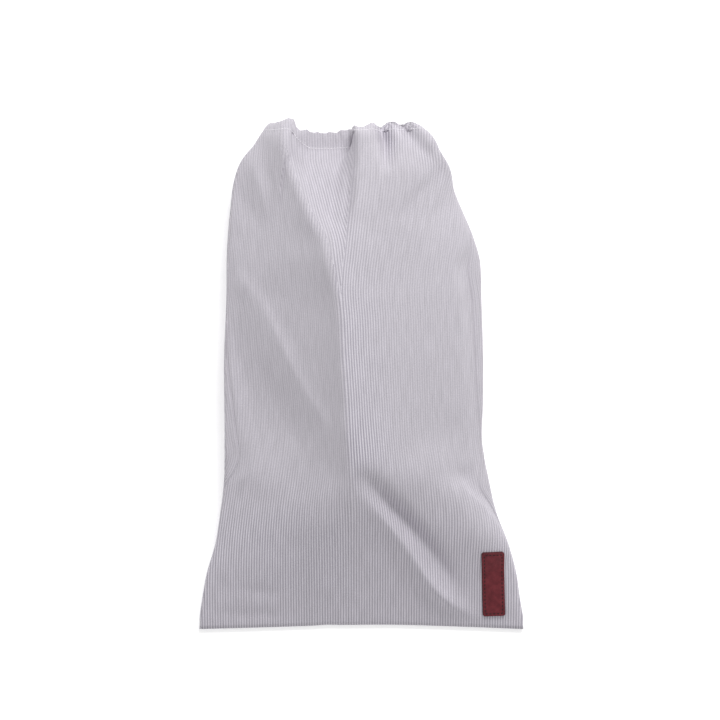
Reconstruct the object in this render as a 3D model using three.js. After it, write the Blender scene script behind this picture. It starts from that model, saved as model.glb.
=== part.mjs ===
// A cloth pouch with a gathered mouth, lying on its back with its mouth open.
// Two equal rectangles of striped cord cotton, front and back, are sewn together along both sides and
// the foot. Their rims are turned in as a casing and gathered, and a leather patch is sewn on the front.
// Millimetres, +Z up. +Y runs from the foot to the mouth and +X to the right of the front.
import * as THREE from "three";
import { mergeVertices } from "three/addons/utils/BufferGeometryUtils.js";

// Driving dimensions
const PANEL_LENGTH = 500;
const CLOTH = 1.5;
const CASING = 15;
const CASING_TURN = 1.2; // what the turned-in hem adds to the inside of the cloth
const SEAM_GAP = 0.3; // between the panels where they meet
const PATCH_GAP = 0.66; // between the cloth and the patch that follows its curves
const SEAM_INSET = 0.3; // from a side seam to the edge of each panel
const SKIN = CLOTH + SEAM_GAP / 2; // from the pouch's hollow to its outside
const BACK_SHORT = 11; // how far the back's gathered rim lies short of the front's
const PATCH = { width: 21, length: 60, thick: 1.8, corner: 2.3, x: 122, y: 42, leanDeg: 1.8 };

// How finely each panel is divided
const FRONT_COLUMNS = { left: 26, right: 30 }; // on each side of the crest
const BACK_COLUMNS = { left: 12, right: 12 }; // on each side of the middle
const ARC_STEPS = 200;
const SMALL_TURN = 1e-4; // radians, for slopes
const SMALL_STEP = 1e-2; // millimetres, for slopes
const FLOOR_SNAP = 0.02; // cloth nearer than this to the floor lies on it
const HALVINGS = 40; // how often a range is halved to find a place

// The pouch's sections, by the length of cloth from the foot: how far the section lies from the foot, its
// left outline, its crest, its right outline, the heights of the crest and of the widest point, and how
// full its left and right sides are (1 straight, 2 round, less than 1 sagging).
const SECTIONS = table(
  ["along", "y", "left", "crest", "right", "height", "widest", "leftFull", "rightFull"],
  [
    [0, 0, -150, -8, 150.5, 3.5, 1.75, 1.6, 1.9],
    [12, 10.5, -149.3, -8, 149.8, 8.5, 4, 1.6, 1.9],
    [30, 26, -147.3, -8, 147.5, 15.5, 7, 1.6, 1.9],
    [60, 52, -142.5, -8, 143.5, 29, 11, 1.5, 1.8],
    [90, 79, -134.5, -8, 136, 44.5, 15, 1.3, 1.6],
    [120, 107, -130, -8, 125, 61, 18.5, 1.1, 1.35],
    [150, 135, -126.5, -9, 118.5, 76, 21.5, 0.92, 1.2],
    [190, 174, -125.8, -11, 111.5, 87, 24.5, 0.81, 1.09],
    [230, 213.5, -126, -13, 112.5, 91.5, 26, 0.79, 1.06],
    [270, 253.5, -126, -15.5, 112.5, 93, 27, 0.81, 1.05],
    [320, 303.5, -124, -18.5, 111, 92, 27.5, 0.83, 1.06],
    [355, 338.5, -123.8, -24, 109.8, 87, 27, 0.82, 1.16],
    [375, 358.3, -123, -33, 104.5, 80, 26.7, 0.8, 1.32],
    [400, 383, -121, -49, 94.5, 69, 26, 0.78, 1.55],
    [430, 412.5, -117.3, -62, 83, 57, 25, 0.76, 1.78],
    [450, 431.5, -110.5, -67, 77, 50, 24, 0.78, 1.86],
    [465, 445, -99.5, -70.5, 71.5, 45.5, 23, 0.82, 1.9],
    [475, 453, -94.5, -72, 66, 42.5, 22, 0.88, 1.9],
    [485, 459.5, -90.5, -73, 60, 39, 21, 0.92, 1.9],
    [493, 463.5, -87.5, -73.5, 55.5, 35.5, 20, 1, 1.9],
    [500, 466, -85, -74, 52, 31.5, 18.5, 1, 1.9],
  ],
);
const CREST_BLUNT = 0.17; // keeps the crest from being knife sharp

// The hollow in the middle of the front's mouth, by the length of cloth: its left and right edges, how
// deep it lies, and how far its cloth is drawn back from the mouth.
const HOLLOW = table(
  ["along", "left", "right", "depth", "back"],
  [
    [345, -22, -18, 0, 0],
    [375, -31, -15, -1, 0.5],
    [400, -48, -12.5, -3, 2],
    [430, -61, -9.5, -7, 6],
    [450, -65.5, -8, -10, 9],
    [470, -67, -7.5, -15, 11.5],
    [485, -65, -7.5, -18, 12],
    [500, -60.5, -7, -10, 4.5],
  ],
);
const HOLLOW_EDGES = { left: 22, right: 17 }; // how wide the hollow's two edges are
const EDGE_INSIDE = 0.7; // the share of an edge's width that lies inside the hollow
const HOLLOW_START = HOLLOW[0].along;

// The front rim's own line: by the width, how far it stands out past its section.
const RIM = table(
  ["x", "out"],
  [
    [-88, 0],
    [-75, 1.5],
    [-66, 4],
    [-57, 0],
    [-13, 0],
    [-3, -7],
    [9, -4],
    [18, -7],
    [27, -3],
    [36, -5.5],
    [45, -3],
    [52, -1.5],
  ],
);
const RIM_START = 478; // the length of cloth from which the rim's line sets in

// How far each side seam lies round the section above its widest point, in degrees.
const SEAMS = table(
  ["along", "left", "right"],
  [
    [0, 2, 2],
    [95, 2, 4],
    [140, 5, 13],
    [165, 11, 12],
    [190, 14, 9],
    [235, 11, 12],
    [290, 5, 14],
    [335, 3, 14],
    [365, 1.5, 9],
    [395, 0, 4],
    [425, -2, 0],
    [455, -4, -3],
    [480, -5, -5],
    [500, -6, -6],
  ],
);

// The foot's bow: how far the sewn edge lies above a straight foot.
const FOOT = table(
  ["x", "rise"],
  [
    [-150, 0],
    [-100, 1.5],
    [-46, 2.6],
    [-31, 6],
    [-20, 4.3],
    [30, 4.4],
    [100, 2.2],
    [150, 0],
  ],
);
const FOOT_FADE = 70; // the length of cloth over which the bow dies out

// Folds of the front. Each runs along points of x, y and height, which is raised where positive and sunk
// where negative. It falls away to its left and its right, seen along its run, over those widths, and an
// edge of 1 is a sharp crease where 2 is a soft roll.
const FRONT_FOLDS = table(
  ["name", "left", "right", "edge", "run"],
  [
    ["right of the hollow", 80, 11, 2, [
      [-1, 467, 8], [-1, 456, 11], [-1.5, 440, 10], [-3, 406, 8], [-8, 375, 4.5], [-15, 342, 1],
      [-19, 300, 0],
    ]],
    ["notch", 7, 6, 1.8, [[17, 467, -10], [20, 453, -11], [22, 432, -6], [21, 414, 0]]],
    ["pleat past the notch", 7, 7, 1.8, [[28, 467, 3], [34, 457, 5], [44, 443, 6], [60, 427, 0]]],
    ["second notch", 6, 6, 1.8, [[38, 467, -6], [42, 456, -6], [50, 445, -4], [63, 433, 0]]],
    ["right of the mouth", 34, 34, 2, [
      [48, 470, 0], [48, 450, 6], [46, 420, 7], [42, 385, 4.5], [38, 335, 0],
    ]],
    ["slack under the pleats", 12, 14, 2, [[74, 440, 0], [60, 424, -8], [40, 400, -7], [20, 376, 0]]],
    ["slack by the shoulder", 9, 9, 2, [[78, 420, 0], [66, 398, -3], [52, 372, 0]]],
    ["right shoulder", 8, 8, 2, [[56, 462, 2], [66, 443, 4], [75, 415, 0]]],
    ["left shoulder hollow", 10, 10, 2, [
      [-110, 430, 0], [-104, 408, -2], [-94, 386, -2.5], [-78, 360, 0],
    ]],
    ["left shoulder ridge", 8, 8, 2, [[-97, 444, 0], [-93, 424, 2], [-86, 398, 2], [-76, 372, 0]]],
    ["left drag ridge", 10, 22, 1.6, [
      [-116, 340, 0], [-100, 318, 1.5], [-82, 290, 2.5], [-63, 250, 3.2], [-44, 214, 3.5], [-24, 182, 0],
    ]],
    ["left drag", 28, 26, 1.8, [
      [-114, 268, 0], [-84, 220, -3], [-54, 180, -6], [-28, 148, -6], [-6, 118, 0],
    ]],
    ["left patch of slack", 22, 20, 2, [[-118, 160, 0], [-98, 152, 2.5], [-76, 140, 2.5], [-56, 126, 0]]],
    ["cross ridge", 22, 12, 2, [[6, 160, 0], [38, 152, 2.5], [66, 147, 2.5], [86, 144, 0]]],
    ["corner hollow", 13, 13, 1.7, [
      [-6, 150, 0], [8, 133, -5], [22, 118, -7.5], [42, 97, -9], [60, 74, -7.5], [76, 50, -4], [92, 28, 0],
    ]],
    ["corner ridge", 9, 12, 1.7, [
      [-7, 126, 0], [8, 109, 4], [23, 94, 6], [39, 74, 7.5], [57, 47, 8.5], [80, 22, 8], [104, 7, 0],
    ]],
    ["right swell", 24, 12, 2, [
      [56, 136, 0], [72, 124, 3], [92, 112, 6], [110, 99, 7], [126, 85, 4], [138, 76, 0],
    ]],
    ["right tuck", 10, 10, 2, [[70, 158, 0], [92, 151, -3], [110, 147, 0]]],
    ["foot ridge", 12, 12, 2, [[-24, 120, 0], [-27, 60, 4.5], [-28, 6, 2]]],
  ],
);

// Folds of the back, sunk into the pouch from the side that it lies on.
const BACK_FOLDS = table(
  ["name", "left", "right", "edge", "run"],
  [
    ["left slack", 10, 12, 2, [[-42, 110, 0], [-36, 250, -6], [-52, 400, 0]]],
    ["right slack", 12, 10, 2, [[44, 90, 0], [54, 220, -5], [26, 390, 0]]],
    ["left corner", 12, 12, 2, [[-118, 26, 0], [-92, 80, -5], [-66, 140, 0]]],
    ["right corner", 12, 12, 2, [[120, 30, 0], [90, 84, -5], [62, 136, 0]]],
    ["first rim pleat", 6, 6, 2, [[-62, 467, -5], [-59, 440, -3.5], [-56, 405, 0]]],
    ["second rim pleat", 7, 6, 2, [[-36, 467, -5], [-33, 444, -3.5], [-33, 415, 0]]],
    ["third rim pleat", 6, 6, 2, [[-11, 467, -4], [-9, 440, -3], [-6, 400, 0]]],
    ["fourth rim pleat", 6, 7, 2, [[13, 467, -6], [16, 446, -4], [20, 412, 0]]],
    ["fifth rim pleat", 6, 6, 2, [[33, 467, -4.5], [37, 446, -3], [46, 415, 0]]],
  ],
);
const RUN_STEPS = 30; // straight pieces in a fold's run
const SEAM_FADE = 0.22; // radians round the section over which folds die out towards a seam
const FOLD_FOOT_FADE = 45; // the length of cloth over which folds die out towards the foot
const BACK_DRAWN = 420; // the length of cloth from which the back is drawn short
const LIFT_FORWARD = 0.3; // the share of a fold's lift that is let lean towards the mouth or the foot

const COTTON = new THREE.MeshStandardMaterial({ color: 0xbab6bd, roughness: 0.95, metalness: 0 });
const COTTON_BACK = COTTON.clone();
const LEATHER = new THREE.MeshStandardMaterial({ color: 0x612f34, roughness: 0.6, metalness: 0 });

// Rows with named columns
function table(columns, rows) {
  return rows.map((row) => Object.fromEntries(columns.map((name, i) => [name, row[i]])));
}

// A smooth curve through one column of a table, read at any value of its key column
function smoothColumn(rows, key, column) {
  const x = rows.map((row) => row[key]);
  const f = rows.map((row) => row[column]);
  const last = x.length - 1;
  const slope = x.map((_, i) => {
    const a = Math.max(i - 1, 0);
    const b = Math.min(i + 1, last);
    return (f[b] - f[a]) / (x[b] - x[a]);
  });
  return (at) => {
    const here = THREE.MathUtils.clamp(at, x[0], x[last]);
    let i = 0;
    while (i < last - 1 && here > x[i + 1]) i += 1;
    const span = x[i + 1] - x[i];
    const t = (here - x[i]) / span;
    const u = 1 - t;
    return (
      f[i] * (1 + 2 * t) * u * u +
      slope[i] * span * t * u * u +
      f[i + 1] * (3 - 2 * t) * t * t -
      slope[i + 1] * span * t * t * u
    );
  };
}

// Smooth curves through every column of a table, by name
function smoothColumns(rows, key) {
  const names = Object.keys(rows[0]).filter((name) => name !== key);
  return Object.fromEntries(names.map((name) => [name, smoothColumn(rows, key, name)]));
}

const section = smoothColumns(SECTIONS, "along");
const hollow = smoothColumns(HOLLOW, "along");
const seamDeg = smoothColumns(SEAMS, "along");
const rimLine = smoothColumn(RIM, "x", "out");
const footRise = smoothColumn(FOOT, "x", "rise");
const seamLeft = (along) => Math.PI - THREE.MathUtils.degToRad(seamDeg.left(along));
const seamRight = (along) => THREE.MathUtils.degToRad(seamDeg.right(along));
const { smoothstep } = THREE.MathUtils;

// A section's wall over the top, where the angle is 0 at the right and a half turn at the left
function overTop(angle, along) {
  const crest = section.crest(along);
  const widest = section.widest(along);
  const toLeft = Math.cos(angle) < 0;
  const reach = toLeft ? section.left(along) + SKIN - crest : section.right(along) - SKIN - crest;
  const power = 2 / (toLeft ? section.leftFull(along) : section.rightFull(along));
  const across = Math.abs(Math.cos(angle));
  const blunt = CREST_BLUNT * Math.max(power - 1, 0) * across * (1 - across) ** 3;
  const rise = Math.max(section.height(along) - SKIN - widest, 0);
  return {
    x: crest + reach * (across ** power + blunt),
    z: widest + rise * Math.abs(Math.sin(angle)) ** power,
  };
}

// A section's wall under the pouch, from the left outline: a rounded flank, flat, a rounded flank
function underneath(fromLeft, along) {
  const left = section.left(along);
  const right = section.right(along);
  const half = (right - left) / 2 - SKIN;
  const widest = section.widest(along);
  const flankTurn = Math.PI / 5; // the share of the underside given to each rounded flank
  const fromSide = Math.min(fromLeft, Math.PI - fromLeft);
  const side = fromLeft < Math.PI / 2 ? -1 : 1;
  const flank = (Math.min(fromSide / flankTurn, 1) * Math.PI) / 2;
  const flat = Math.max((fromSide - flankTurn) / (Math.PI / 2 - flankTurn), 0);
  const round = THREE.MathUtils.clamp(widest - SKIN, 0, half);
  return {
    x: (left + right) / 2 + side * (half - round + round * Math.cos(flank)) * (1 - flat),
    z: widest - (widest - SKIN) * Math.sin(flank),
  };
}

// A point on the wall of the pouch's hollow before any fold. The turn is 0 at the right, a quarter turn
// at the crest and a half turn at the left. Past that the wall goes on under the pouch.
function plainWall(turn, along) {
  const full = 2 * Math.PI;
  const angle = ((turn % full) + full) % full;
  const { x, z } = angle > Math.PI ? underneath(angle - Math.PI, along) : overTop(angle, along);
  const bow = footRise(x) * Math.max(1 - along / FOOT_FADE, 0) ** 2;
  return new THREE.Vector3(x, section.y(along) + bow, z);
}

// The outward direction of a surface at a turn and length, from its own slopes
function outward(surface, turn, along) {
  const before = Math.max(along - SMALL_STEP, 0);
  const after = Math.min(along + SMALL_STEP, PANEL_LENGTH);
  const round = surface(turn - SMALL_TURN, along).sub(surface(turn + SMALL_TURN, along));
  const up = surface(turn, after).sub(surface(turn, before));
  return round.cross(up).normalize();
}

// A fold's run as short straight pieces that carry its height
function prepareFold({ left, right, edge, run }) {
  const points = run.map(([x, y, height]) => new THREE.Vector3(x, y, height));
  return { left, right, edge, line: new THREE.CatmullRomCurve3(points).getPoints(RUN_STEPS) };
}
const frontFolds = FRONT_FOLDS.map(prepareFold);
const backFolds = BACK_FOLDS.map(prepareFold);

// How far one fold raises or sinks the cloth at a point
function foldHeight({ left, right, edge, line }, x, y) {
  let nearest = Infinity;
  let height = 0;
  let side = 1;
  for (let i = 0; i < line.length - 1; i += 1) {
    const dx = line[i + 1].x - line[i].x;
    const dy = line[i + 1].y - line[i].y;
    const px = x - line[i].x;
    const py = y - line[i].y;
    const t = THREE.MathUtils.clamp((px * dx + py * dy) / (dx * dx + dy * dy), 0, 1);
    const distance = Math.hypot(px - t * dx, py - t * dy);
    if (distance < nearest) {
      nearest = distance;
      height = line[i].z + t * (line[i + 1].z - line[i].z);
      side = dx * py - dy * px;
    }
  }
  return height * Math.exp(-((nearest / (side > 0 ? left : right)) ** edge));
}

// How far the front's mouth is moved back and down by its hollow, and out by the rim's own line
function mouthShift(x, along) {
  const left = hollow.left(along);
  const right = hollow.right(along);
  const leftStart = left - (1 - EDGE_INSIDE) * HOLLOW_EDGES.left;
  const rightStart = right - EDGE_INSIDE * HOLLOW_EDGES.right;
  const pastLeft = smoothstep(x, leftStart, leftStart + HOLLOW_EDGES.left);
  const pastRight = smoothstep(x, rightStart, rightStart + HOLLOW_EDGES.right);
  const inside = along > HOLLOW_START ? pastLeft * (1 - pastRight) : 0;
  const out = rimLine(x) * smoothstep(along, RIM_START, PANEL_LENGTH);
  return new THREE.Vector3(0, out - hollow.back(along) * inside, hollow.depth(along) * inside);
}

// A point on the wall of the hollow with its folds, which die out at the seams and at the flat foot
function foldedWall(turn, along) {
  const point = plainWall(turn, along);
  const fromRight = turn - seamRight(along);
  const fromLeft = seamLeft(along) - turn;
  const isFront = fromRight > 0 && fromLeft > 0;
  const fromSeam = Math.min(Math.abs(fromRight), Math.abs(fromLeft), Math.abs(2 * Math.PI - fromLeft));
  const free = smoothstep(fromSeam, 0, SEAM_FADE);
  if (free === 0) return point;
  const folds = isFront ? frontFolds : backFolds;
  const lift = folds.reduce((sum, fold) => sum + foldHeight(fold, point.x, point.y), 0);
  const leaning = new THREE.Vector3(1, LIFT_FORWARD, 1);
  const upright = outward(plainWall, turn, along).multiply(leaning).normalize();
  const backShift = new THREE.Vector3(0, -BACK_SHORT * smoothstep(along, BACK_DRAWN, PANEL_LENGTH), 0);
  const shift = isFront ? mouthShift(point.x, along) : backShift;
  return point
    .addScaledVector(upright, lift * free * smoothstep(along, 0, FOLD_FOOT_FADE))
    .addScaledVector(shift, free);
}

// A point of cloth that lies some distance outside the hollow's wall, never under the floor
function clothPoint(turn, along, outside) {
  const point = foldedWall(turn, along).addScaledVector(outward(foldedWall, turn, along), outside);
  if (point.z < FLOOR_SNAP) point.z = 0;
  return point;
}

// The turns at even lengths of cloth round part of a section, set in from its two ends
function turnsAcross(along, from, to, insetFrom, insetTo, columns) {
  const turns = steps(from, to, ARC_STEPS);
  const points = turns.map((turn) => foldedWall(turn, along));
  const lengths = [0];
  for (let i = 1; i <= ARC_STEPS; i += 1) lengths.push(lengths[i - 1] + points[i].distanceTo(points[i - 1]));
  return steps(insetFrom, lengths[ARC_STEPS] - insetTo, columns).map((target) => {
    let i = 0;
    while (i < ARC_STEPS - 1 && lengths[i + 1] < target) i += 1;
    const share = (target - lengths[i]) / (lengths[i + 1] - lengths[i]);
    return turns[i] + (turns[i + 1] - turns[i]) * share;
  });
}

// Even steps from one value to another, both included
function steps(from, to, count) {
  return Array.from({ length: count + 1 }, (_, i) => from + ((to - from) * i) / count);
}

// The value between two where a growing or a falling function reaches a target
function reaches(target, low, high, value) {
  const grows = value(high) > value(low);
  let near = low;
  let far = high;
  for (let i = 0; i < HALVINGS; i += 1) {
    const middle = (near + far) / 2;
    if (value(middle) < target === grows) near = middle;
    else far = middle;
  }
  return near;
}

// A flat cut of the given divisions, with each corner point moved to where shape puts it.
// shape gets the column, the row and whether the point is on the outside. The cut is made lying on its
// side, so that its outside is split along the way that the long folds run.
function formed(columns, rows, shape) {
  const cut = new THREE.BoxGeometry(rows, columns, 1, rows, columns, 1);
  cut.deleteAttribute("normal");
  cut.deleteAttribute("uv");
  const piece = mergeVertices(cut);
  const place = piece.getAttribute("position");
  for (let i = 0; i < place.count; i += 1) {
    const row = Math.round(place.getX(i) + rows / 2);
    const column = Math.round(place.getY(i) + columns / 2);
    const { x, y, z } = shape(column, row, place.getZ(i) < 0);
    place.setXYZ(i, x, y, z);
  }
  piece.computeVertexNormals();
  return piece;
}

// One panel: a sheet from seam to seam by way of its crest or middle, and from foot to rim, thicker where
// its casing is turned in. Its columns are spread evenly on each side of the crest.
function panel(columns, from, by, to) {
  const across = rowsAlong.map((along) => [
    ...turnsAcross(along, from(along), by, SEAM_INSET, 0, columns.left),
    ...turnsAcross(along, by, to(along), 0, SEAM_INSET, columns.right).slice(1),
  ]);
  return formed(columns.left + columns.right, rowsAlong.length - 1, (column, row, isOutside) => {
    const along = rowsAlong[row];
    const casing = along > PANEL_LENGTH - CASING ? CASING_TURN : 0;
    return clothPoint(across[row][column], along, isOutside ? SKIN : SEAM_GAP / 2 - casing);
  });
}

const casingLine = PANEL_LENGTH - CASING;
const corners = 165; // the length of cloth from the foot that the corner folds reach
const shoulder = 435; // where the cloth starts to turn over towards the rim
const rowsAlong = [
  ...steps(0, corners, 20),
  ...steps(corners, shoulder, 16).slice(1),
  ...steps(shoulder, casingLine - CLOTH, 9).slice(1),
  ...steps(casingLine + CLOTH / 10, PANEL_LENGTH, 3),
];

function frontPanel() {
  return panel(FRONT_COLUMNS, seamLeft, Math.PI / 2, seamRight);
}

function backPanel() {
  const underTo = (along) => seamLeft(along) - 2 * Math.PI;
  return panel(BACK_COLUMNS, seamRight, -Math.PI / 2, underTo);
}

// The leather patch, bent to the cloth under it, with rounded corners
function leatherPatch() {
  const { width, length, thick, corner, x, y, leanDeg } = PATCH;
  const ends = [0, corner * 0.3, corner];
  const rowPlaces = [
    ...ends,
    ...steps(corner, length - corner, 10).slice(1, -1),
    ...ends.map((d) => length - d).reverse(),
  ];
  const columns = 6;
  const lean = THREE.MathUtils.degToRad(leanDeg);
  return formed(columns, rowPlaces.length - 1, (column, row, isOutside) => {
    const fromEnd = Math.min(rowPlaces[row], length - rowPlaces[row], corner);
    const halfWidth = width / 2 - corner + Math.sqrt(corner ** 2 - (corner - fromEnd) ** 2);
    const across = halfWidth * ((2 * column) / columns - 1);
    const up = rowPlaces[row] - length / 2;
    const placeX = x + across * Math.cos(lean) - up * Math.sin(lean);
    const placeY = y + across * Math.sin(lean) + up * Math.cos(lean);
    const along = reaches(placeY, 0, PANEL_LENGTH, section.y);
    const turn = reaches(placeX, 0, Math.PI / 2, (angle) => overTop(angle, along).x);
    return clothPoint(turn, along, SKIN + PATCH_GAP + (isOutside ? thick : 0));
  });
}

function named(name, geometry, material) {
  const mesh = new THREE.Mesh(geometry, material);
  mesh.name = name;
  return mesh;
}

const pouch = new THREE.Group();
pouch.add(
  named("front_panel", frontPanel(), COTTON),
  named("back_panel", backPanel(), COTTON_BACK),
  named("leather_patch", leatherPatch(), LEATHER),
);

// The origin is on the floor under the middle of the pouch.
const extent = new THREE.Box3().setFromObject(pouch, true);
const middle = extent.getCenter(new THREE.Vector3());
pouch.position.set(-middle.x, -middle.y, -extent.min.z);

export default pouch;
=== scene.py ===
import math
from types import SimpleNamespace

import bmesh
import bpy
import numpy as np
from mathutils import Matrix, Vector
from mathutils.bvhtree import BVHTree


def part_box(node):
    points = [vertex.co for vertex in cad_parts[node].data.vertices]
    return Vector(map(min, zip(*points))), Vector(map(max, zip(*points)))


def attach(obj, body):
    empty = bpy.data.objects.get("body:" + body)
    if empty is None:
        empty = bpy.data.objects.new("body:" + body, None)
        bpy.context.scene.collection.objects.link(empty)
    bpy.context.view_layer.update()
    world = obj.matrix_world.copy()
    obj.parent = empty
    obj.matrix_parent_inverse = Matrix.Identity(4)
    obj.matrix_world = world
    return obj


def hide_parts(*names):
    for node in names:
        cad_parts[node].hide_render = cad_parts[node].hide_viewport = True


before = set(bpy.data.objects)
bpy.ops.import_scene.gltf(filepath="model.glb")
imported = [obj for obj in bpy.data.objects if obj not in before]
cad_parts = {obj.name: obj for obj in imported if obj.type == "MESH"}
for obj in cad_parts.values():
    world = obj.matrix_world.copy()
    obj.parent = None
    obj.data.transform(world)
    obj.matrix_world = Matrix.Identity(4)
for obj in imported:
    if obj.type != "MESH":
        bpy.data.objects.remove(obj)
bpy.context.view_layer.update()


# Front panel
# A rectangle of fine striped cord cotton, sewn to the back along both sides and the foot. Air fills it
# out and it falls in folds from the gathered rim, which is turned in and stitched down as a casing.
MM = 0.001
PANEL_WIDTH, PANEL_LENGTH = 300.0, 500.0
CASING, TURN_IN = 15.0, 16.5  # the casing's depth, and the cloth turned in at the rim to make it
CLOTH = 1.2  # the cloth's thickness
SKIN = 1.65  # from the pouch's hollow to its outside
FRONT_COLUMNS, CLOTH_ROWS = 330, 134

# By the length of cloth from the foot: how far the section lies from the foot, its left outline, its
# crest, its right outline, the heights of the crest and of the widest point, and how full the left and
# the right sides are (1 straight, 2 round, less than 1 sagging).
SECTIONS = [
    (0, 0, -151.3, -8, 152, 3.5, 1.75, 1.6, 1.9),
    (12, 10.5, -149.8, -8, 150.6, 8.3, 4, 1.85, 1.95),
    (30, 26, -147.3, -8, 147.5, 15, 7, 1.85, 2.0),
    (60, 52, -142.5, -8, 143.5, 27.5, 11, 1.75, 1.98),
    (90, 79, -134.5, -8, 136, 42.5, 15, 1.45, 1.78),
    (120, 107, -130, -8, 125, 60, 18.5, 1.18, 1.48),
    (150, 135, -126.5, -9, 118.5, 76, 21.5, 0.94, 1.3),
    (190, 174, -125.8, -11, 111.5, 87, 24.5, 0.84, 1.1),
    (230, 213.5, -126, -13, 112.5, 91.5, 26, 0.78, 1.06),
    (270, 253.5, -126, -15.5, 112.5, 93, 27, 0.78, 1.05),
    (320, 303.5, -124, -18.5, 111, 92, 27.5, 0.785, 1.06),
    (355, 338.5, -123.8, -27, 109.8, 87, 27, 0.81, 1.19),
    (375, 358.3, -123, -32, 104.5, 80, 26.7, 0.82, 1.42),
    (400, 383, -121, -46, 94.5, 69, 26, 0.82, 1.7),
    (430, 412.5, -117.3, -58.8, 81, 57, 25, 0.82, 1.9),
    (450, 431.5, -110.5, -66.5, 73.5, 50, 24, 0.83, 1.9),
    (465, 445, -99.5, -71.5, 69, 45.5, 23, 0.86, 1.9),
    (475, 453, -94.5, -72, 64, 42.5, 22, 0.92, 1.9),
    (485, 459.5, -90.5, -73, 57, 39, 21, 0.95, 1.9),
    (493, 463.5, -87.5, -73.5, 51.5, 35.5, 20, 1.0, 1.9),
    (500, 466, -85, -74, 45.5, 31.5, 18.5, 1.0, 1.9),
]
# The hollow in the middle of the mouth, by the length of cloth: its left and right edges, how deep it
# lies, how far its cloth is drawn back from the mouth, and how wide its right edge is.
HOLLOW = [
    (345, -22, -18, 0, 0, 14),
    (375, -30, -15, -1.2, 0.5, 13),
    (400, -45, -12.5, -4, 2, 22),
    (430, -57.8, -9.5, -7, 6, 26),
    (450, -65.5, -8, -9.5, 10.5, 23),
    (470, -67.5, -7.5, -13.5, 14.5, 12),
    (485, -65, -7.5, -16, 16, 3),
    (500, -60.5, -7, -10, 4.5, 3),
]
# The rim's own line: by the width, how far the rim stands out past its section.
RIM = [
    (-88, 0), (-80, 0.5), (-74, 1.5), (-69, 3.5), (-65, 4.2), (-62, 3.6), (-60, -2), (-57, -4.5),
    (-50, -3), (-38, -3.6), (-24, -3), (-15, -1), (-12, 0), (-7, -2.5), (0, -5), (6, -2.5),
    (10.5, -0.5), (14, -2), (18, -3.5), (22, -1.2), (26, 0.5), (31, 0), (35, -2), (39, -1.5),
    (44, -0.5), (52, -1),
]
# By the length of cloth: how far the left and the right seam lie round the section above its widest
# point, in degrees.
SEAMS = [
    (0, 2, 2),
    (95, 2, 2),
    (110, 2, 4),
    (125, 2, 9),
    (145, 4, 18),
    (160, 14, 15),
    (176, 18, 9),
    (195, 16, 6),
    (230, 12, 12),
    (270, 7, 14),
    (320, 4, 15),
    (350, 2.5, 18),
    (370, 1.5, 12),
    (392, 0.3, 3),
    (425, -2, 0),
    (455, -4, -3),
    (500, -6, -6),
]
# The foot's bow: by the width, how far the sewn edge lies above a straight foot.
FOOT = [(-150, 0), (-100, 1.5), (-46, 3.4), (-31, 4.4), (-20, 4.2), (30, 4.4), (100, 2.2), (150, 0)]
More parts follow.
